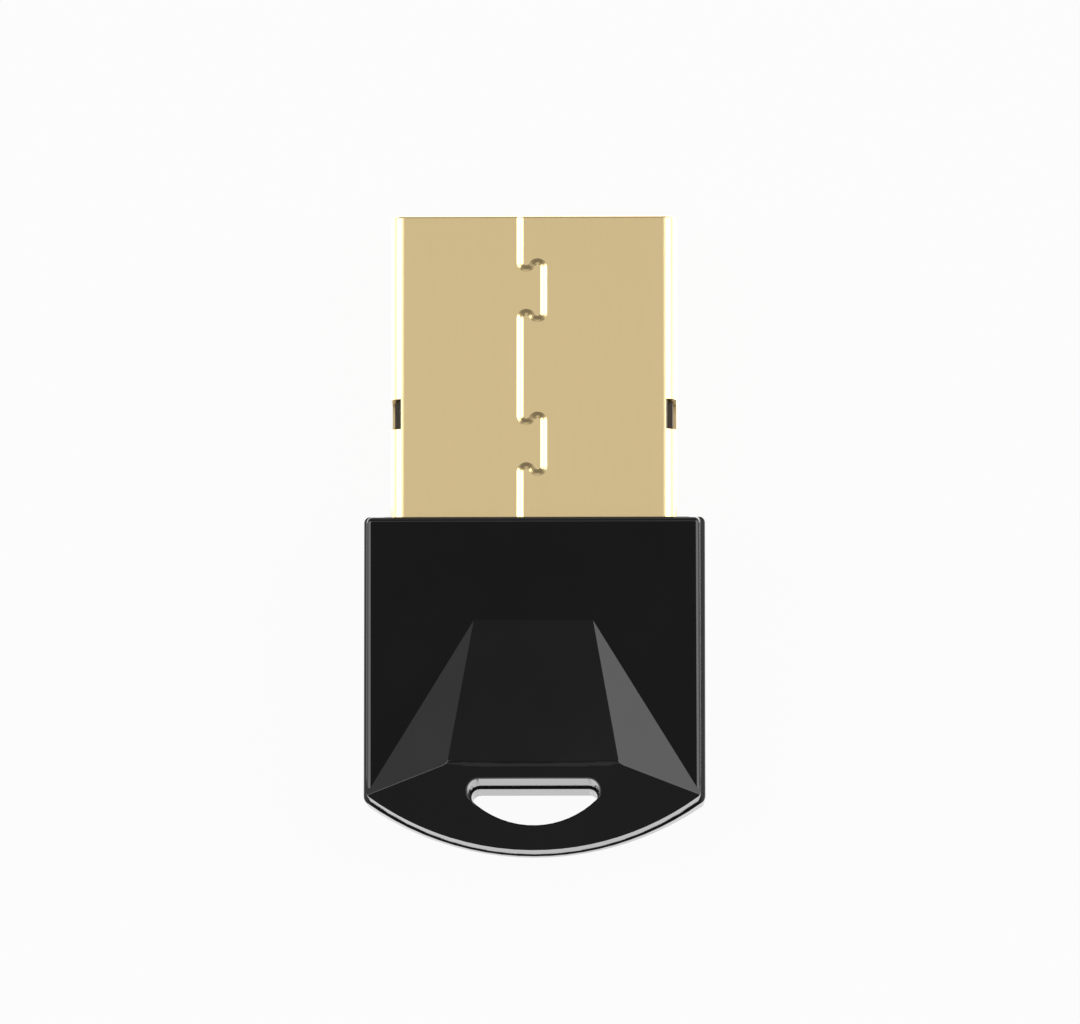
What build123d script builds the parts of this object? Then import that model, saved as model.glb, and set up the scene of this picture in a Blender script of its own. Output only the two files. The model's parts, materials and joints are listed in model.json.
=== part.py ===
from build123d import *
import os
from math import asin, cos, degrees, hypot, radians, sin

# Plug-in radio adapter: a folded metal plug held between two moulded covers.
# Millimetres. X runs across the plug, Y towards its mouth, Z out of the front face.
# The origin is the plug's centre line where it leaves the body, and the covers part at Z = 0.

os.makedirs("parts", exist_ok=True)

# Body outline
body_overhang = 1.2  # past each side of the plug, to the rear cover's rim
straight_length = 11.64  # shoulder to the corners of the rounded end
end_bulge = 2.37  # from those corners to the tip of the end
corner_radius = 0.35
shoulder_radius = 0.25
shoulder_lead = 0.4  # how far the parting line stands ahead of the shoulder's front edge
front_height = 3.2  # parting plane to the front face, at the shoulder
face_tilt = 5.8  # the front face falls away towards the end
rear_height = 3.2
rear_slope = 32.0
rear_end_height = 0.8  # of the rear cover's end wall at its tip
draft_angle = 1.2
rim_step = 0.14  # how far the rear cover stands proud at the parting line, on each side
end_step = 0.05  # and at the tip of the rounded end
front_rim_chamfer = 0.03
rear_rim_radius = 0.04
front_edge_radius = 0.2
rear_edge_chamfer = 0.15

# Finger grip: a panel that rises from the front face to a ridge, two facets and an end face
panel_start = 4.34  # shoulder to the foot of the panel, along the front face
panel_half_width = 2.5
ridge_distance = 10.37  # shoulder to the ridge, along the front face
ridge_half_width = 3.6
ridge_rise = 1.18  # square to the front face
end_face_excess = 0.2  # share of its rise that the end face runs on, up and down, to be cut
ridge_radius = 0.4
facet_edge_radius = 0.05

# Lanyard hole at the parting plane, flat towards the plug and round towards the end
hole_flat_distance = 11.09
hole_depth = 1.77
hole_arc_radius = 3.8
hole_corner_radius = 0.43
hole_front_draft = 1.2  # widens towards the front face
hole_rear_draft = 0.5  # narrows towards the rear face
hole_step = 0.08  # how far the rear cover's hole stands inside the front cover's
hole_face_chamfer = 0.05

# Inside of the covers
side_wall = 1.0
face_wall = 0.8
rear_wall = 0.9
shoulder_wall = 0.9
hole_wall = 0.77
pocket_corner_radius = 0.4
grip_wall = 0.9
grip_core_width = 4.8
lip_thickness = 0.45
lip_height = 0.6
lip_length = 8.0
lip_clearance = 0.05
pin_diameter = 0.9
pin_height = 0.8
pin_spacing = 9.8
pin_distance = 11.3  # from the shoulder
pin_chamfer = 0.12
pin_clearance = 0.05
rib_width = 0.4
rib_inset = 0.25  # from the board's edge to the ribs that hold it
rib_length = 3.4
board_play = 0.05
stop_thickness = 0.5
stop_width = 8.0
stop_reach = 0.65  # past the inner face of the plug's sheet
pip_length = 0.6
pip_width = 1.0
pip_spacing = 6.0
pip_clearance = 0.05

# Plug
plug_width = 12.0
plug_height = 4.5
sheet = 0.3
plug_length = 12.9  # shoulder to mouth
plug_tail = 2.2  # shoulder to the shell's rear edge
plug_corner_radius = 0.55
mouth_edge_radius = 0.08
plug_clearance = 0.05

# Seam of the folded sheet, with two dovetail keys
seam_offset = 0.57  # left of the centre line
seam_gap = 0.012
seam_bevel_width = 0.13
seam_bevel_depth = 0.07
key_reach = 1.0
key_radius = 0.263
key_height = 2.45
key_centres = (3.22, 9.74)  # from the shoulder

# Openings and legs of the plug's shell
slot_start = 3.85
slot_end = 5.13
slot_drop = 2.3  # how far the side slot reaches down from the front face
slot_reach = 0.42  # how far it reaches in from the narrow side
window_width = 2.5
window_length = 2.0
window_spacing = 4.5
window_distance = 5.2  # from the mouth to the window's centre
leg_length = 2.0
leg_height = 1.6
leg_rise = 0.3  # above the board's upper face

# Contacts and their carrier. The contacts lie on the board's upper face, at Z = 0.
carrier_clearance = 0.05
carrier_recess = 0.25
carrier_chamfer = 0.2
cavity_depth = 8.65
carrier_tail = 0.4  # past the shell's rear edge
carrier_tail_width = 9.2
carrier_tail_height = 2.4
tongue_gap = 0.05  # how far the tongue stands back from the face of the contacts
lug_reach = 0.2
lug_start = 0.3  # above the board's upper face
lug_height = 1.3
lug_clearance = 0.08
contact_width = 1.0
contact_sheet = 0.25
contact_clearance = 0.02
contact_nose = 0.1
contact_tail = 2.0
outer_contact_x = 3.5
inner_contact_x = 1.0
outer_contact_length = 7.41  # from the back of the cavity
inner_contact_length = 6.41

# Circuit board
board_thickness = 0.8
board_side_gap = 0.1  # to the legs of the shell
board_front_gap = 0.12  # to the carrier
board_end_gap = 0.2
board_corner_radius = 0.4

# Printed aerial at the board's far end
trace_width = 0.35
trace_thickness = 0.05
trace_runs = 9
trace_pitch = 0.8
trace_swing = 0.9
trace_end_gap = 0.35  # from its outer edge to the board's edge

# Parts on the board: across, along and up
chip_size = (4.0, 4.0, 0.85)
memory_size = (3.0, 2.0, 0.6)
crystal_size = (3.2, 2.5, 0.7)
filter_size = (1.25, 2.0, 0.8)
supply_size = (1.25, 2.0, 1.0)
bead_size = (1.6, 0.8, 0.8)
capacitor_size = (1.0, 0.5, 0.5)
resistor_size = (0.5, 1.0, 0.35)

# Their places: across from the centre line, and back from the board's front edge
chip_place = (0.0, 3.3)
memory_place = (1.4, 4.45)
crystal_place = (-3.1, 3.8)
filter_place = (3.7, 3.5)
supply_place = (-3.7, 2.0)
bead_place = (3.6, 1.5)
antenna_capacitor_place = (3.4, 5.0)
crystal_capacitor_places = ((-4.0, 5.5), (-2.2, 5.5))
decoupling_places = ((-2.8, 3.8), (-2.8, 4.8), (2.8, 2.8), (2.8, 4.4))
data_resistor_back = 2.9

# Details of those parts, and the solder
chip_edge = 0.08
mark_diameter = 0.4
mark_depth = 0.05
mark_inset = 0.5
crystal_lid_inset = 0.2
crystal_lid_height = 0.15
crystal_lid_radius = 0.3
terminal_length = 0.25
terminal_step = 0.03
contact_solder_height = 0.2
contact_solder_length = 0.35
shell_solder_width = 0.5
shell_solder_height = 0.28
shell_solder_length = 1.2

# Places that follow from the sizes above
body_width = plug_width + 2 * body_overhang
half_width = body_width / 2
half_plug = plug_width / 2
half_height = plug_height / 2
inner_height = half_height - sheet
inner_half_width = half_plug - sheet
far = 2 * body_width
front_half_width = half_width - rim_step
body_tip = -straight_length - end_bulge
front_tip = body_tip + end_step
socket_end = -plug_tail - plug_clearance
carrier_back = -plug_tail - carrier_tail
tail_end = carrier_back - contact_tail
cavity_back = plug_length - cavity_depth
pocket_half_width = front_half_width - side_wall
pocket_end = hole_wall - hole_flat_distance
pocket_centre = (pocket_end - shoulder_wall) / 2
pip_centre = (-plug_tail - shoulder_wall) / 2
board_half_width = inner_half_width - board_side_gap
board_front = carrier_back - board_front_gap
board_end = pocket_end + board_end_gap
rib_x = board_half_width - rib_inset - rib_width / 2
rib_centre = board_end + rib_inset + rib_length / 2

front_plane = Plane(
    (0, 0, front_height),
    x_dir=(1, 0, 0),
    z_dir=(0, -sin(radians(face_tilt)), cos(radians(face_tilt))),
)
rear_end_plane = Plane(
    (0, body_tip, -rear_end_height),
    x_dir=(1, 0, 0),
    z_dir=(0, -sin(radians(rear_slope)), -cos(radians(rear_slope))),
)
front_shoulder = Plane(
    (0, shoulder_lead, 0), x_dir=(1, 0, 0), z_dir=(0, front_height, shoulder_lead)
)
rear_shoulder = Plane(
    (0, shoulder_lead, 0), x_dir=(1, 0, 0), z_dir=(0, rear_height, -shoulder_lead)
)


# Outlines at the parting plane. The covers run past the shoulder and are cut off there.


def draw_outline(side, tip):
    """Draw the straight sides and the rounded end of a cover."""
    Polyline(
        (side, -straight_length), (side, half_width), (-side, half_width), (-side, -straight_length)
    )
    ThreePointArc((-side, -straight_length), (0, tip), (side, -straight_length))


with BuildSketch() as rear_outline:
    with BuildLine():
        draw_outline(half_width, body_tip)
    make_face()
    fillet(rear_outline.vertices().group_by(Axis.Y)[0], radius=corner_radius)

with BuildSketch() as front_outline:
    with BuildLine():
        draw_outline(front_half_width, front_tip)
    make_face()
    fillet(front_outline.vertices().group_by(Axis.Y)[0], radius=corner_radius)

with BuildSketch() as hole_outline:
    with Locations((0, hole_arc_radius - hole_depth - hole_flat_distance)):
        Circle(hole_arc_radius)
    with Locations((0, -hole_flat_distance)):
        Rectangle(far, far, align=(Align.CENTER, Align.MAX), mode=Mode.INTERSECT)
    fillet(hole_outline.vertices(), radius=hole_corner_radius)

with BuildSketch() as rear_hole_outline:
    add(hole_outline.sketch)
    offset(amount=-hole_step)

with BuildSketch() as pocket_outline:
    with Locations((0, pocket_centre)):
        RectangleRounded(
            2 * pocket_half_width, -pocket_end - shoulder_wall, pocket_corner_radius
        )


# Room for the plug's shell, between the two covers

with BuildPart() as socket:
    with BuildSketch(Plane.XZ.offset(plug_tail + plug_clearance)):
        RectangleRounded(
            plug_width + 2 * plug_clearance,
            plug_height + 2 * plug_clearance,
            plug_corner_radius + plug_clearance,
        )
    extrude(amount=-plug_tail - 2 * plug_clearance - shoulder_lead)


# Block that the front cover's walls and grip are cut from

with BuildPart() as front_block:
    extrude(front_outline.sketch, amount=front_height + ridge_rise, taper=draft_angle)
    split(bisect_by=front_shoulder, keep=Keep.BOTTOM)


# Finger grip. Its end face is ruled between two outlines in planes along the front face, one
# above the ridge and one below the foot, and the panel, the facets and the block cut it.

along_face = cos(radians(face_tilt))
foot_x = front_half_width
foot_y = -straight_length / along_face
foot_tip = front_tip / along_face

panel_corner = front_plane.from_local_coords(Vector(panel_half_width, -panel_start, 0))
ridge_corner = front_plane.from_local_coords(
    Vector(ridge_half_width, -ridge_distance, ridge_rise)
)
foot_corner = front_plane.from_local_coords(Vector(foot_x, foot_y, 0))
facet_normal = (ridge_corner - panel_corner).cross(foot_corner - panel_corner)
panel_run = Vector(0, ridge_corner.Y - panel_corner.Y, ridge_corner.Z - panel_corner.Z)
panel_plane = Plane(
    (0, panel_corner.Y, panel_corner.Z),
    x_dir=(1, 0, 0),
    z_dir=panel_run.cross(Vector(1, 0, 0)),
)

with BuildPart() as grip:
    for rise in (-end_face_excess, 1 + end_face_excess):
        corner_x = foot_x + rise * (ridge_half_width - foot_x)
        corner_y = foot_y - rise * (ridge_distance + foot_y)
        tip_y = foot_tip - rise * (ridge_distance + foot_tip)
        with BuildSketch(front_plane.offset(rise * ridge_rise)):
            with BuildLine():
                Polyline((corner_x, corner_y), (corner_x, 0), (-corner_x, 0), (-corner_x, corner_y))
                ThreePointArc((-corner_x, corner_y), (0, tip_y), (corner_x, corner_y))
            make_face()
    loft(ruled=True)
    split(bisect_by=panel_plane, keep=Keep.BOTTOM)
    ridge = grip.edges().sort_by(Axis.Z)[-1]
    fillet(ridge, radius=ridge_radius)
    for side in (1, -1):
        facet_plane = Plane(
            (side * panel_corner.X, panel_corner.Y, panel_corner.Z),
            z_dir=(side * facet_normal.X, facet_normal.Y, facet_normal.Z),
        )
        split(bisect_by=facet_plane, keep=Keep.BOTTOM)
    add(front_block.part, mode=Mode.INTERSECT)

with BuildPart() as grip_core:
    with BuildSketch():
        with Locations((0, pocket_end)):
            Rectangle(
                grip_core_width, -pocket_end - shoulder_wall, align=(Align.CENTER, Align.MIN)
            )
    extrude(amount=far)
    split(bisect_by=panel_plane.offset(-grip_wall), keep=Keep.BOTTOM)


# Hollows of the covers, less the pips that hold the shell and the ribs that hold the board


def leave_pips(face):
    """Leave the pips that enter the windows in the shell's tail, on one face of the plug."""
    with BuildSketch(Plane.XY.offset(face * inner_height)) as pips:
        with Locations((-pip_spacing / 2, pip_centre), (pip_spacing / 2, pip_centre)):
            Rectangle(pip_width, pip_length)
    extrude(pips.sketch, amount=face * far, mode=Mode.SUBTRACT)


def leave_ribs(height, way):
    """Leave the two ribs that hold the board, from a height and on up or down."""
    with BuildSketch(Plane.XY.offset(height)) as ribs:
        with Locations((-rib_x, rib_centre), (rib_x, rib_centre)):
            Rectangle(rib_width, rib_length)
    extrude(ribs.sketch, amount=way * far, mode=Mode.SUBTRACT)


with BuildPart() as front_hollow:
    extrude(pocket_outline.sketch, amount=front_height)
    split(bisect_by=front_plane.offset(-face_wall), keep=Keep.BOTTOM)
    add(grip_core.part)
    add(socket.part)
    leave_pips(1)
    leave_ribs(board_play, 1)

with BuildPart() as rear_hollow:
    extrude(pocket_outline.sketch, amount=rear_wall - rear_height)
    add(socket.part)
    leave_pips(-1)
    leave_ribs(-board_thickness, -1)
    with BuildSketch(Plane.XY.offset(stop_reach - inner_height)):
        with Locations((0, socket_end)):
            Rectangle(stop_width, stop_thickness, align=(Align.CENTER, Align.MAX))
    extrude(amount=-far, mode=Mode.SUBTRACT)


# Front cover


def is_facet_edge(edge):
    """Tell the edges between the panel, the facets and the end face of the grip."""
    ends = (edge @ 0, edge @ 1)
    reaches_ridge = any(abs(abs(end.X) - ridge_half_width) < ridge_radius for end in ends)
    return reaches_ridge and abs(ends[0].X - ends[1].X) < ridge_half_width


def is_hole_edge(edge):
    """Tell the edges of the lanyard hole that lie in a face, not those that run through it."""
    ends = (edge @ 0, edge @ 1)
    inside = all(
        abs(end.X) < hole_arc_radius
        and -hole_flat_distance - hole_depth - hole_corner_radius
        < end.Y
        < hole_corner_radius - hole_flat_distance
        for end in ends
    )
    step = ends[1] - ends[0]
    return inside and abs(step.Z) < hypot(step.X, step.Y)


with BuildPart() as front_cover:
    add(front_block.part)
    split(bisect_by=front_plane, keep=Keep.BOTTOM)
    shoulder = front_cover.faces().sort_by(Axis.Y)[-1]
    shoulder_sides = shoulder.edges().sort_by(Axis.X)
    fillet([shoulder_sides[0], shoulder_sides[-1]], radius=shoulder_radius)
    fillet(front_cover.faces().sort_by(Axis.Z)[-1].edges(), radius=front_edge_radius)
    chamfer(front_cover.faces().sort_by(Axis.Z)[0].edges(), length=front_rim_chamfer)
    add(grip.part)
    fillet(front_cover.edges().filter_by(is_facet_edge), radius=facet_edge_radius)
    extrude(
        hole_outline.sketch,
        amount=front_height + ridge_rise,
        taper=-hole_front_draft,
        mode=Mode.SUBTRACT,
    )
    hole_edges = front_cover.edges().filter_by(is_hole_edge).sort_by(Axis.Z)
    chamfer(hole_edges[-4:], length=hole_face_chamfer)
    add(front_hollow.part, mode=Mode.SUBTRACT)
    with BuildSketch():
        for side in (1, -1):
            with Locations((side * (pocket_half_width + lip_thickness / 2), pocket_centre)):
                Rectangle(lip_thickness, lip_length)
    extrude(amount=-lip_height)
    with BuildSketch():
        with Locations((-pin_spacing / 2, -pin_distance), (pin_spacing / 2, -pin_distance)):
            Circle(pin_diameter / 2)
    extrude(amount=-pin_height)
    pin_tips = front_cover.faces().filter_by(Axis.Z).group_by(Axis.Z)[0]
    chamfer(pin_tips.edges(), length=pin_chamfer)

front_cover.part.label = "front_cover"
export_step(front_cover.part, "parts/front_cover.step")


# Rear cover, with recesses for the lips and sockets for the pins

with BuildPart() as rear_cover:
    extrude(rear_outline.sketch, amount=-rear_height, taper=draft_angle)
    split(bisect_by=rear_shoulder, keep=Keep.BOTTOM)
    split(bisect_by=rear_end_plane, keep=Keep.BOTTOM)
    shoulder = rear_cover.faces().sort_by(Axis.Y)[-1]
    shoulder_sides = shoulder.edges().sort_by(Axis.X)
    fillet([shoulder_sides[0], shoulder_sides[-1]], radius=shoulder_radius)
    fillet(rear_cover.faces().sort_by(Axis.Z)[-1].edges(), radius=rear_rim_radius)
    chamfer(rear_cover.faces().sort_by(Axis.Z)[0].edges(), length=rear_edge_chamfer)
    extrude(
        rear_hole_outline.sketch, amount=-rear_height, taper=hole_rear_draft, mode=Mode.SUBTRACT
    )
    add(rear_hollow.part, mode=Mode.SUBTRACT)
    with BuildSketch():
        for side in (1, -1):
            recess_x = side * (pocket_half_width + (lip_thickness + lip_clearance) / 2)
            with Locations((recess_x, pocket_centre)):
                Rectangle(lip_thickness + lip_clearance, lip_length + 2 * lip_clearance)
    extrude(amount=-lip_height - lip_clearance, mode=Mode.SUBTRACT)
    with BuildSketch():
        with Locations((-pin_spacing / 2, -pin_distance), (pin_spacing / 2, -pin_distance)):
            Circle(pin_diameter / 2 + pin_clearance)
    extrude(amount=-pin_height - pin_clearance, mode=Mode.SUBTRACT)

rear_cover.part.label = "rear_cover"
export_step(rear_cover.part, "parts/rear_cover.step")


# Seam of the plug's shell. Each side of a key is two equal arcs in an S, square to neither run.

seam_x = -seam_offset
key_x = seam_x + key_reach
key_angle = degrees(asin(key_reach / (2 * key_radius) - 1))
key_sweep = 90 + key_angle
key_neck = key_height - 4 * key_radius * (1 - cos(radians(key_angle)))
key_head_turn = key_height / 2 - key_radius
key_neck_turn = key_neck / 2 + key_radius


def draw_key_side(centre, way):
    """Draw the two arcs of one side of a key, from its head to its neck."""
    head = (key_x - key_radius, centre + way * key_head_turn)
    neck = (seam_x + key_radius, centre + way * key_neck_turn)
    CenterArc(head, key_radius, 0, way * key_sweep)
    CenterArc(neck, key_radius, way * (key_angle - 90), -way * key_sweep)


with BuildLine() as seam_line:
    run_start = -plug_tail
    for centre in key_centres:
        Line((seam_x, run_start), (seam_x, centre - key_neck_turn))
        draw_key_side(centre, -1)
        Line((key_x, centre - key_head_turn), (key_x, centre + key_head_turn))
        draw_key_side(centre, 1)
        run_start = centre + key_neck_turn
    Line((seam_x, run_start), (seam_x, plug_length))


# Plug's shell


def is_seam_edge(edge):
    """Tell the edges along the seam, among those of the sheet's outer face."""
    middle = edge @ 0.5
    along = -plug_tail < middle.Y < plug_length - mouth_edge_radius
    return along and seam_x - seam_gap < middle.X < key_x + seam_gap


with BuildPart() as plug_shell:
    with BuildSketch(Plane.XZ.offset(-plug_length)):
        RectangleRounded(plug_width, plug_height, plug_corner_radius)
        RectangleRounded(
            plug_width - 2 * sheet,
            plug_height - 2 * sheet,
            plug_corner_radius - sheet,
            mode=Mode.SUBTRACT,
        )
    extrude(amount=plug_length + plug_tail)
    mouth = plug_shell.faces().sort_by(Axis.Y)[-1]
    fillet(mouth.outer_wire().edges(), radius=mouth_edge_radius)
    with BuildSketch(Plane.XY.offset(inner_height - sheet)) as seam:
        trace(seam_line.line, line_width=seam_gap)
    extrude(seam.sketch, amount=3 * sheet, mode=Mode.SUBTRACT)
    for side in (0, -1):
        outer_face = plug_shell.faces().filter_by(Axis.Z).group_by(Axis.Z)[-1].sort_by(Axis.X)[side]
        chamfer(
            outer_face.edges().filter_by(is_seam_edge),
            length=seam_bevel_width,
            length2=seam_bevel_depth,
            reference=outer_face,
        )
    with BuildSketch(Plane.XY.offset(half_height - slot_drop)):
        for side in (1, -1):
            with Locations((side * (half_plug - slot_reach), (slot_start + slot_end) / 2)):
                Rectangle(
                    2 * slot_reach,
                    slot_end - slot_start,
                    align=(Align.MIN if side > 0 else Align.MAX, Align.CENTER),
                )
    extrude(amount=plug_height, mode=Mode.SUBTRACT)
    with BuildSketch(Plane.XY.offset(-inner_height + sheet)):
        with Locations((0, plug_length - window_distance)):
            with GridLocations(window_spacing, 0, 2, 1):
                Rectangle(window_width, window_length)
    extrude(amount=-plug_height, mode=Mode.SUBTRACT)
    with BuildSketch(Plane.XY.offset(-plug_height)):
        with Locations((-pip_spacing / 2, pip_centre), (pip_spacing / 2, pip_centre)):
            Rectangle(pip_width + 2 * pip_clearance, pip_length + 2 * pip_clearance)
    extrude(amount=2 * plug_height, mode=Mode.SUBTRACT)
    with BuildSketch(Plane.XZ.offset(plug_tail)):
        for side in (1, -1):
            with Locations((side * (half_plug - sheet / 2), leg_rise - leg_height / 2)):
                Rectangle(sheet, leg_height)
    extrude(amount=leg_length)

plug_shell.part.label = "plug_shell"
export_step(plug_shell.part, "parts/plug_shell.step")


# Carrier of the contacts: a tongue in the plug, a block behind it and a tail behind the shell

carrier_width = plug_width - 2 * sheet - 2 * carrier_clearance
carrier_height = plug_height - 2 * sheet - 2 * carrier_clearance
carrier_radius = plug_corner_radius - sheet
tongue_height = inner_height - carrier_clearance - tongue_gap
tongue_length = plug_length - carrier_recess - cavity_back
contacts = (
    ("power_contact", -outer_contact_x, outer_contact_length),
    ("data_minus_contact", -inner_contact_x, inner_contact_length),
    ("data_plus_contact", inner_contact_x, inner_contact_length),
    ("ground_contact", outer_contact_x, outer_contact_length),
)

with BuildPart() as contact_carrier:
    with BuildSketch(Plane.XZ.offset(-cavity_back)):
        RectangleRounded(carrier_width, carrier_height, carrier_radius)
    extrude(amount=cavity_back + plug_tail)
    with BuildSketch(Plane.XZ.offset(plug_tail)):
        Rectangle(carrier_tail_width, carrier_tail_height)
    extrude(amount=carrier_tail)
    with BuildSketch(Plane.XZ.offset(-cavity_back)) as tongue:
        with Locations((0, tongue_gap)):
            Rectangle(carrier_width, tongue_height, align=(Align.CENTER, Align.MIN))
        fillet(tongue.vertices().group_by(Axis.Y)[-1], radius=carrier_radius)
    extrude(amount=-tongue_length)
    tongue_nose = contact_carrier.faces().sort_by(Axis.Y)[-1]
    chamfer(tongue_nose.edges(), length=carrier_chamfer)
    with BuildSketch(Plane.XY.offset(lug_start)):
        with Locations((0, (slot_start + slot_end) / 2)):
            Rectangle(
                carrier_width + 2 * lug_reach, slot_end - slot_start - 2 * lug_clearance
            )
    extrude(amount=lug_height)
    with BuildSketch(Plane.XY.offset(-contact_clearance)):
        for name, place, length in contacts:
            with Locations((place, cavity_back + length + contact_clearance)):
                Rectangle(
                    contact_width + 2 * contact_clearance, far, align=(Align.CENTER, Align.MAX)
                )
    extrude(amount=contact_sheet + 2 * contact_clearance, mode=Mode.SUBTRACT)

contact_carrier.part.label = "contact_carrier"
export_step(contact_carrier.part, "parts/contact_carrier.step")


def save(piece, name):
    """Label one of several like pieces and write it."""
    piece.part.label = name
    export_step(piece.part, f"parts/{name}.step")


def make_contact(name, place, length):
    """A flat blade, chamfered at the nose, whose tail lies on the board."""
    with BuildPart() as contact:
        with BuildSketch():
            with Locations((place, tail_end)):
                Rectangle(
                    contact_width,
                    cavity_back + length - tail_end,
                    align=(Align.CENTER, Align.MIN),
                )
        extrude(amount=contact_sheet)
        chamfer(contact.faces().sort_by(Axis.Y)[-1].edges(), length=contact_nose)
    save(contact, name)


for name, place, length in contacts:
    make_contact(name, place, length)


# Circuit board and its printed aerial

with BuildPart() as circuit_board:
    with BuildSketch():
        with Locations((0, (board_front + board_end) / 2)):
            RectangleRounded(
                2 * board_half_width, board_front - board_end, board_corner_radius
            )
    extrude(amount=-board_thickness)

circuit_board.part.label = "circuit_board"
export_step(circuit_board.part, "parts/circuit_board.step")

trace_low = board_end + trace_end_gap + trace_width / 2
trace_high = trace_low + trace_swing
trace_points = []
for run in range(trace_runs):
    run_x = trace_pitch * (run - (trace_runs - 1) / 2)
    run_ends = [(run_x, trace_low), (run_x, trace_high)]
    trace_points += run_ends if run % 2 else reversed(run_ends)

with BuildPart() as antenna_trace:
    with BuildLine() as trace_line:
        Polyline(*trace_points)
    with BuildSketch() as trace_outline:
        trace(trace_line.line, line_width=trace_width)
    extrude(trace_outline.sketch, amount=trace_thickness)

antenna_trace.part.label = "antenna_trace"
export_step(antenna_trace.part, "parts/antenna_trace.step")


# Parts on the board. A place is across from the centre line and back from the front edge.


def board_plane(face, place):
    """Plane on the board's upper face (1) or lower face (-1), centred on a place."""
    height = 0 if face > 0 else -board_thickness
    return Plane((place[0], board_front - place[1], height), x_dir=(1, 0, 0), z_dir=(0, 0, face))


def make_chip(name, face, place, size):
    """A moulded package with bevelled upper edges and a round mark in one corner."""
    width, length, height = size
    with BuildPart() as chip:
        with BuildSketch(board_plane(face, place)) as outline:
            Rectangle(width, length)
        extrude(outline.sketch, amount=height)
        top = chip.faces().sort_by(Axis.Z)[-1 if face > 0 else 0]
        chamfer(top.edges(), length=chip_edge)
        with BuildSketch(board_plane(face, place).offset(height)) as mark:
            with Locations((mark_inset - width / 2, mark_inset - length / 2)):
                Circle(mark_diameter / 2)
        extrude(mark.sketch, amount=-mark_depth, mode=Mode.SUBTRACT)
    save(chip, name)


def make_two_ended(name, face, place, size, along):
    """A small part with a terminal at each end, a little thicker than its middle."""
    width, length, height = size
    with BuildPart() as part:
        with BuildSketch(board_plane(face, place)) as middle:
            Rectangle(width - 2 * terminal_step, length - 2 * terminal_step)
        extrude(middle.sketch, amount=height - terminal_step)
        with BuildSketch(board_plane(face, place)) as ends:
            if along == "x":
                with GridLocations(width - terminal_length, 0, 2, 1):
                    Rectangle(terminal_length, length)
            else:
                with GridLocations(0, length - terminal_length, 1, 2):
                    Rectangle(width, terminal_length)
        extrude(ends.sketch, amount=height)
    save(part, name)


def make_crystal(name, place, size):
    """A ceramic base with a lid of sheet metal."""
    width, length, height = size
    with BuildPart() as crystal:
        with BuildSketch(board_plane(1, place)) as base:
            Rectangle(width, length)
        extrude(base.sketch, amount=height - crystal_lid_height)
        with BuildSketch(board_plane(1, place).offset(height - crystal_lid_height)) as lid:
            RectangleRounded(
                width - 2 * crystal_lid_inset,
                length - 2 * crystal_lid_inset,
                crystal_lid_radius,
            )
        extrude(lid.sketch, amount=crystal_lid_height)
    save(crystal, name)


make_chip("radio_chip", -1, chip_place, chip_size)
make_chip("memory_chip", 1, memory_place, memory_size)
make_crystal("crystal", crystal_place, crystal_size)
make_two_ended("antenna_filter", 1, filter_place, filter_size, "y")
make_two_ended("antenna_capacitor", 1, antenna_capacitor_place, capacitor_size, "x")
make_two_ended("supply_capacitor", -1, supply_place, supply_size, "y")
make_two_ended("ferrite_bead", -1, bead_place, bead_size, "x")
for number, place in enumerate(crystal_capacitor_places, start=1):
    make_two_ended(f"crystal_capacitor_{number}", 1, place, capacitor_size, "x")
for number, place in enumerate(decoupling_places, start=1):
    make_two_ended(f"decoupling_capacitor_{number}", -1, place, capacitor_size, "x")
for number, side in enumerate((-1, 1), start=1):
    place = (side * inner_contact_x, data_resistor_back)
    make_two_ended(f"data_resistor_{number}", 1, place, resistor_size, "y")


# Solder: one joint behind each contact's tail, and one along each leg of the shell

with BuildPart() as contact_solder:
    for name, place, length in contacts:
        with BuildSketch(Plane.YZ.offset(place - contact_width / 2)) as joint:
            with BuildLine():
                Polyline(
                    (tail_end, 0),
                    (tail_end, contact_solder_height),
                    (tail_end - contact_solder_length, 0),
                    close=True,
                )
            make_face()
        extrude(joint.sketch, amount=contact_width)

contact_solder.part.label = "contact_solder"
export_step(contact_solder.part, "parts/contact_solder.step")

leg_centre = (board_front - plug_tail - leg_length) / 2
for name, side in (("shell_solder_left", -1), ("shell_solder_right", 1)):
    with BuildPart() as shell_solder:
        with BuildSketch(Plane.XZ.offset(-leg_centre)) as joint:
            with BuildLine():
                Polyline(
                    (side * inner_half_width, 0),
                    (side * inner_half_width, shell_solder_height),
                    (side * (inner_half_width - shell_solder_width), 0),
                    close=True,
                )
            make_face()
        extrude(joint.sketch, amount=shell_solder_length / 2, both=True)
    save(shell_solder, name)
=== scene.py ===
import json
from math import cos, pi, radians, sin

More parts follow.
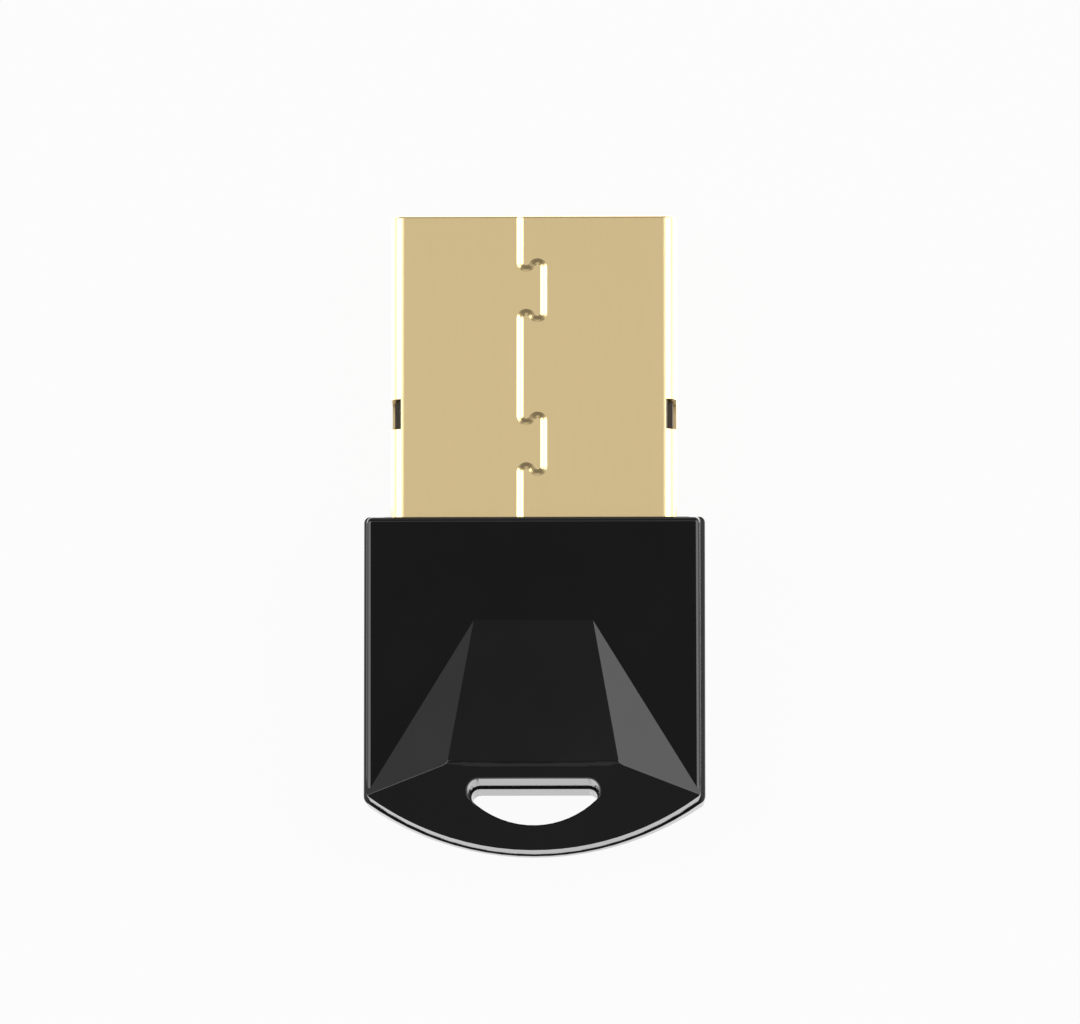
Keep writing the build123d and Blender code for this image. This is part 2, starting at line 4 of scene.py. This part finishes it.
import bmesh
import bpy
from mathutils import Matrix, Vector


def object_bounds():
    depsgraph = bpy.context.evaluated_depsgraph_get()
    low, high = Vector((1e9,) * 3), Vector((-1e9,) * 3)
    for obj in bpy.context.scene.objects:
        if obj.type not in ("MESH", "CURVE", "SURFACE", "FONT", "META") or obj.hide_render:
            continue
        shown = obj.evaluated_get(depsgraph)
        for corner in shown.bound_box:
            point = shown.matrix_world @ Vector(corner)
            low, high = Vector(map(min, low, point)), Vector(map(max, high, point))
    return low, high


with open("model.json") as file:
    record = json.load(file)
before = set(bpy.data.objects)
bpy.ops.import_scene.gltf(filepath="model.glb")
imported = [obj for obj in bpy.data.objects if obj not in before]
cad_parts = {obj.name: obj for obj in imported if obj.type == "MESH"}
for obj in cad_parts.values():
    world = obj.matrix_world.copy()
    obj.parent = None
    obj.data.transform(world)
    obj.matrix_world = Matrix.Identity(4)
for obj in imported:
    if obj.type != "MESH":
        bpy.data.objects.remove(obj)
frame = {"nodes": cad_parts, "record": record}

cad_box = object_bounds()
nodes = frame["nodes"]
scene = bpy.context.scene
MM = 0.001
TABLE_TOP = cad_box[0][2]


# Camera: plug upwards, seen from above, a little from the rounded end and from the right

VIEW_TILT = radians(7.0)
VIEW_TURN = radians(1.0)
VIEW_TARGET = Vector((0.232, 0.596, 0.0)) * MM
VIEW_DISTANCE = 507.0 * MM
LENS = 400.0
SENSOR = 36.0
CLIP_START = 0.01
CLIP_END = 20.0


def add_camera():
    """Aim a long lens at the middle of the picture."""
    data = bpy.data.cameras.new("camera")
    data.lens = LENS
    data.sensor_width = SENSOR
    data.clip_start = CLIP_START
    data.clip_end = CLIP_END
    camera = bpy.data.objects.new("camera", data)
    away = Vector(
        (
            cos(VIEW_TILT) * sin(VIEW_TURN),
            -sin(VIEW_TILT),
            cos(VIEW_TILT) * cos(VIEW_TURN),
        )
    )
    camera.location = VIEW_TARGET + away * VIEW_DISTANCE
    camera.rotation_euler = (VIEW_TILT, VIEW_TURN, 0.0)
    scene.collection.objects.link(camera)
    scene.camera = camera


# Light: soft boxes round the object and bright areas of the table round its plug

BOX_DISTANCE = 0.8

# Height and edges of the bright areas in millimetres, the near edges just clear of the object
GLOW_LIFT = 0.05
GLOW_SIDE = 6.5
GLOW_SIDE_END = 56.5
GLOW_SHOULDER = 1.3
GLOW_SHOULDER_END = 26.0
GLOW_MOUTH = 13.3
GLOW_MOUTH_END = 45.0


def area_light(name, breadth, height, radiance):
    """A rectangular light of even radiance, still to be placed."""
    data = bpy.data.lights.new(name, "AREA")
    data.shape = "RECTANGLE"
    data.size = breadth
    data.size_y = height
    data.energy = radiance * pi * breadth * height
    light = bpy.data.objects.new(name, data)
    scene.collection.objects.link(light)
    return light


def soft_box(name, off_zenith, turn, breadth, height, radiance):
    """A light that faces the object, off_zenith degrees from the vertical and turned from +X."""
    light = area_light(name, breadth, height, radiance)
    across = sin(radians(off_zenith))
    place = Vector(
        (
            across * cos(radians(turn)),
            across * sin(radians(turn)),
            cos(radians(off_zenith)),
        )
    )
    light.location = place * BOX_DISTANCE
    light.rotation_euler = (-place).to_track_quat("-Z", "Y").to_euler()


def table_glow(name, low_corner, high_corner, radiance):
    """A bright area that faces up from the table, hidden from the camera. Corners in millimetres."""
    breadth = (high_corner[0] - low_corner[0]) * MM
    height = (high_corner[1] - low_corner[1]) * MM
    light = area_light(name, breadth, height, radiance)
    light.location = (
        low_corner[0] * MM + breadth / 2,
        low_corner[1] * MM + height / 2,
        TABLE_TOP + GLOW_LIFT * MM,
    )
    light.rotation_euler = (pi, 0.0, 0.0)
    light.visible_camera = False


def add_soft_boxes():
    """A high and a low box on each side, and dimmer ones for the facets, plug, seam and ridge."""
    soft_box("box_right", off_zenith=46, turn=6, breadth=0.4, height=0.8, radiance=3.5)
    soft_box("box_left", off_zenith=46, turn=174, breadth=0.4, height=0.8, radiance=3.5)
    soft_box("box_low_right", off_zenith=82, turn=6, breadth=0.5, height=0.28, radiance=1.3)
    soft_box("box_low_left", off_zenith=82, turn=174, breadth=0.5, height=0.28, radiance=1.3)
    soft_box("box_facet_right", off_zenith=55, turn=34, breadth=0.3, height=0.4, radiance=2.4)
    soft_box("box_facet_left", off_zenith=57, turn=148, breadth=0.3, height=0.4, radiance=0.51)
    soft_box("box_plug", off_zenith=8, turn=90, breadth=0.5, height=0.17, radiance=0.82)
    soft_box("box_seam", off_zenith=68, turn=90, breadth=0.5, height=0.4, radiance=0.5)
    soft_box("box_ridge", off_zenith=22, turn=270, breadth=0.3, height=0.35, radiance=0.34)


def add_table_glows():
    """Bright areas on each side of the plug and before its mouth, for its rolled edges."""
    table_glow(
        "glow_right",
        low_corner=(GLOW_SIDE, GLOW_SHOULDER),
        high_corner=(GLOW_SIDE_END, GLOW_SHOULDER_END),
        radiance=2.7,
    )
    table_glow(
        "glow_left",
        low_corner=(-GLOW_SIDE_END, GLOW_SHOULDER),
        high_corner=(-GLOW_SIDE, GLOW_SHOULDER_END),
        radiance=2.2,
    )
    table_glow(
        "glow_mouth",
        low_corner=(-GLOW_SIDE, GLOW_MOUTH),
        high_corner=(GLOW_SIDE, GLOW_MOUTH_END),
        radiance=1.6,
    )


# Room: dim to the object and darkest overhead, and white to the eye

WHITE = (1.0, 1.0, 1.0, 1.0)
BACKGROUND_WHITE = (0.98, 0.98, 0.98, 1.0)
ZENITH_RADIANCE = 0.15
ZENITH_EDGE = radians(8.0)
ROOM_RADIANCE = 0.23
ROOM_EDGE = radians(20.0)


def add_room():
    """A dark patch overhead that fades into the room, and a white ground behind the table."""
    world = bpy.data.worlds.new("room")
    world.use_nodes = True
    tree = world.node_tree
    tree.nodes.clear()
    output = tree.nodes.new("ShaderNodeOutputWorld")
    mix = tree.nodes.new("ShaderNodeMixShader")
    path = tree.nodes.new("ShaderNodeLightPath")
    place = tree.nodes.new("ShaderNodeTexCoord")
    axes = tree.nodes.new("ShaderNodeSeparateXYZ")
    level = tree.nodes.new("ShaderNodeMapRange")
    dim = tree.nodes.new("ShaderNodeBackground")
    ground = tree.nodes.new("ShaderNodeBackground")
    level.inputs["From Min"].default_value = cos(ROOM_EDGE)
    level.inputs["From Max"].default_value = cos(ZENITH_EDGE)
    level.inputs["To Min"].default_value = ROOM_RADIANCE
    level.inputs["To Max"].default_value = ZENITH_RADIANCE
    dim.inputs["Color"].default_value = WHITE
    ground.inputs["Color"].default_value = BACKGROUND_WHITE
    tree.links.new(place.outputs["Generated"], axes.inputs["Vector"])
    tree.links.new(axes.outputs["Z"], level.inputs["Value"])
    tree.links.new(level.outputs["Result"], dim.inputs["Strength"])
    tree.links.new(path.outputs["Is Camera Ray"], mix.inputs["Fac"])
    tree.links.new(dim.outputs["Background"], mix.inputs[1])
    tree.links.new(ground.outputs["Background"], mix.inputs[2])
    tree.links.new(mix.outputs["Shader"], output.inputs["Surface"])
    scene.world = world


# Nodes that the finishes share

NOISE_LOW = 0.25
NOISE_HIGH = 0.75
TONE_LOW = 0.3
TONE_HIGH = 0.7
METAL_SPREAD = 0.08
BODY_SPREAD = 0.1


def new_material(name):
    """An empty node material with its output and one Principled shader."""
    material = bpy.data.materials.new(name)
    material.use_nodes = True
    tree = material.node_tree
    tree.nodes.clear()
    output = tree.nodes.new("ShaderNodeOutputMaterial")
    shader = tree.nodes.new("ShaderNodeBsdfPrincipled")
    tree.links.new(shader.outputs["BSDF"], output.inputs["Surface"])
    return material, tree, shader


def noise(tree, scale, detail=2.0, stretch=(1.0, 1.0, 1.0)):
    """Noise on object coordinates, stretched along an axis if asked."""
    place = tree.nodes.new("ShaderNodeTexCoord")
    mapping = tree.nodes.new("ShaderNodeMapping")
    texture = tree.nodes.new("ShaderNodeTexNoise")
    mapping.inputs["Scale"].default_value = stretch
    texture.inputs["Scale"].default_value = scale
    texture.inputs["Detail"].default_value = detail
    tree.links.new(place.outputs["Object"], mapping.inputs["Vector"])
    tree.links.new(mapping.outputs["Vector"], texture.inputs["Vector"])
    return texture.outputs["Fac"]


def vary_gloss(tree, shader, value, low, high):
    """Vary the roughness between two near values."""
    node = tree.nodes.new("ShaderNodeMapRange")
    node.inputs["From Min"].default_value = NOISE_LOW
    node.inputs["From Max"].default_value = NOISE_HIGH
    node.inputs["To Min"].default_value = low
    node.inputs["To Max"].default_value = high
    tree.links.new(value, node.inputs["Value"])
    tree.links.new(node.outputs["Result"], shader.inputs["Roughness"])


def vary_colour(tree, shader, value, first, second):
    """Vary the colour between two near tones."""
    ramp = tree.nodes.new("ShaderNodeValToRGB")
    ramp.color_ramp.elements[0].position = TONE_LOW
    ramp.color_ramp.elements[0].color = (*first, 1.0)
    ramp.color_ramp.elements[1].position = TONE_HIGH
    ramp.color_ramp.elements[1].color = (*second, 1.0)
    tree.links.new(value, ramp.inputs["Fac"])
    tree.links.new(ramp.outputs["Color"], shader.inputs["Base Color"])


def roughen(tree, shader, value, strength, distance):
    """Raise the surface by a noise value."""
    node = tree.nodes.new("ShaderNodeBump")
    node.inputs["Strength"].default_value = strength
    node.inputs["Distance"].default_value = distance
    tree.links.new(value, node.inputs["Height"])
    tree.links.new(node.outputs["Normal"], shader.inputs["Normal"])


def small_metal(name, first, second, roughness):
    """A small plated or drawn part, with a slight variation in tone and gloss."""
    material, tree, shader = new_material(name)
    shader.inputs["Metallic"].default_value = 1.0
    grain = noise(tree, scale=6000.0)
    vary_colour(tree, shader, grain, first, second)
    vary_gloss(tree, shader, grain, low=roughness, high=roughness + METAL_SPREAD)
    return material


def small_body(name, first, second, roughness):
    """A small moulded or fired part, with a slight variation in tone and gloss."""
    material, tree, shader = new_material(name)
    grain = noise(tree, scale=9000.0, detail=3.0)
    vary_colour(tree, shader, grain, first, second)
    vary_gloss(tree, shader, grain, low=roughness, high=roughness + BODY_SPREAD)
    return material


# Finishes of the covers and the plug


def polished_black():
    """Black moulding from a polished tool, with the faintest flow in its gloss."""
    material, tree, shader = new_material("polished_black")
    shader.inputs["IOR"].default_value = 1.5
    flow = noise(tree, scale=260.0)
    vary_colour(tree, shader, flow, (0.0036, 0.0036, 0.0036), (0.0044, 0.0044, 0.0044))
    vary_gloss(tree, shader, flow, low=0.07, high=0.10)
    return material


def champagne_gold():
    """Warm satin plating over rolled sheet, with a faint grain along the sheet."""
    material, tree, shader = new_material("champagne_gold")
    shader.inputs["Metallic"].default_value = 1.0
    grain = noise(tree, scale=9000.0, detail=3.0, stretch=(1.0, 0.06, 1.0))
    vary_colour(tree, shader, grain, (0.785, 0.614, 0.328), (0.795, 0.622, 0.332))
    vary_gloss(tree, shader, grain, low=0.275, high=0.285)
    return material


def matte_black():
    """Glass-filled moulding with a fine dry grain."""
    material, tree, shader = new_material("matte_black")
    grain = noise(tree, scale=14000.0, detail=3.0)
    vary_colour(tree, shader, grain, (0.036, 0.025, 0.018), (0.056, 0.040, 0.029))
    vary_gloss(tree, shader, grain, low=0.45, high=0.6)
    roughen(tree, shader, grain, strength=0.2, distance=0.01 * MM)
    return material


# Finishes of what the covers and the plug hold


def contact_gold():
    """Gold plating on the four contact blades."""
    return small_metal(
        "contact_gold", (0.80, 0.56, 0.22), (0.86, 0.62, 0.26), roughness=0.22
    )


def bare_copper():
    """Etched copper of the printed aerial."""
    return small_metal(
        "bare_copper", (0.68, 0.36, 0.22), (0.74, 0.42, 0.27), roughness=0.3
    )


def bright_solder():
    """Bright solder of the contact and shell joints."""
    return small_metal(
        "bright_solder", (0.66, 0.67, 0.68), (0.74, 0.75, 0.76), roughness=0.2
    )


def drawn_can():
    """Satin metal of the crystal's case."""
    return small_metal(
        "drawn_can", (0.62, 0.62, 0.6), (0.7, 0.7, 0.68), roughness=0.28
    )


def green_laminate():
    """Solder mask over the circuit board."""
    return small_body(
        "green_laminate", (0.010, 0.085, 0.035), (0.014, 0.105, 0.045), roughness=0.3
    )


def black_epoxy():
    """Moulded packages of the chips, the bead and the resistors."""
    return small_body(
        "black_epoxy", (0.012, 0.012, 0.013), (0.02, 0.02, 0.021), roughness=0.5
    )


def fired_ceramic():
    """Bodies of the capacitors and the filter."""
    return small_body(
        "fired_ceramic", (0.40, 0.29, 0.19), (0.48, 0.36, 0.24), roughness=0.4
    )


FINISHES = {
    "cover_plastic": polished_black,
    "plug_metal": champagne_gold,
    "carrier_plastic": matte_black,
    "contact_metal": contact_gold,
    "trace_copper": bare_copper,
    "solder": bright_solder,
    "crystal_can": drawn_can,
    "board_laminate": green_laminate,
    "chip_package": black_epoxy,
    "part_ceramic": fired_ceramic,
}


def paint_nodes():
    """Make each finish once and give each piece its own."""
    finishes = {slot: make() for slot, make in FINISHES.items()}
    for subpart in frame["record"]["subparts"]:
        piece = nodes[subpart["node"]]
        for slot in piece.material_slots:
            slot.link = "OBJECT"
            slot.material = finishes[subpart["material_slot"]]


# Table

TABLE_REACH = 4.0
TABLE_RADIANCE = 0.952
TABLE_BASE = (0.02, 0.02, 0.02, 1.0)


def pale_table():
    """An even matt white with a light of its own, on which a shadow hardly shows."""
    material, tree, shader = new_material("pale_table")
    shader.inputs["Base Color"].default_value = TABLE_BASE
    shader.inputs["Specular IOR Level"].default_value = 0.0
    shader.inputs["Roughness"].default_value = 1.0
    shader.inputs["Emission Color"].default_value = WHITE
    shader.inputs["Emission Strength"].default_value = TABLE_RADIANCE
    return material


def add_table():
    """A plain pale table under the rear cover."""
    shape = bmesh.new()
    bmesh.ops.create_grid(shape, x_segments=1, y_segments=1, size=TABLE_REACH)
    bmesh.ops.translate(shape, verts=shape.verts, vec=(0.0, 0.0, TABLE_TOP))
    mesh = bpy.data.meshes.new("table")
    shape.to_mesh(mesh)
    shape.free()
    mesh.materials.append(pale_table())
    table = bpy.data.objects.new("table", mesh)
    scene.collection.objects.link(table)


scene.view_settings.view_transform = "Standard"
add_camera()
add_room()
add_soft_boxes()
add_table_glows()
add_table()
paint_nodes()
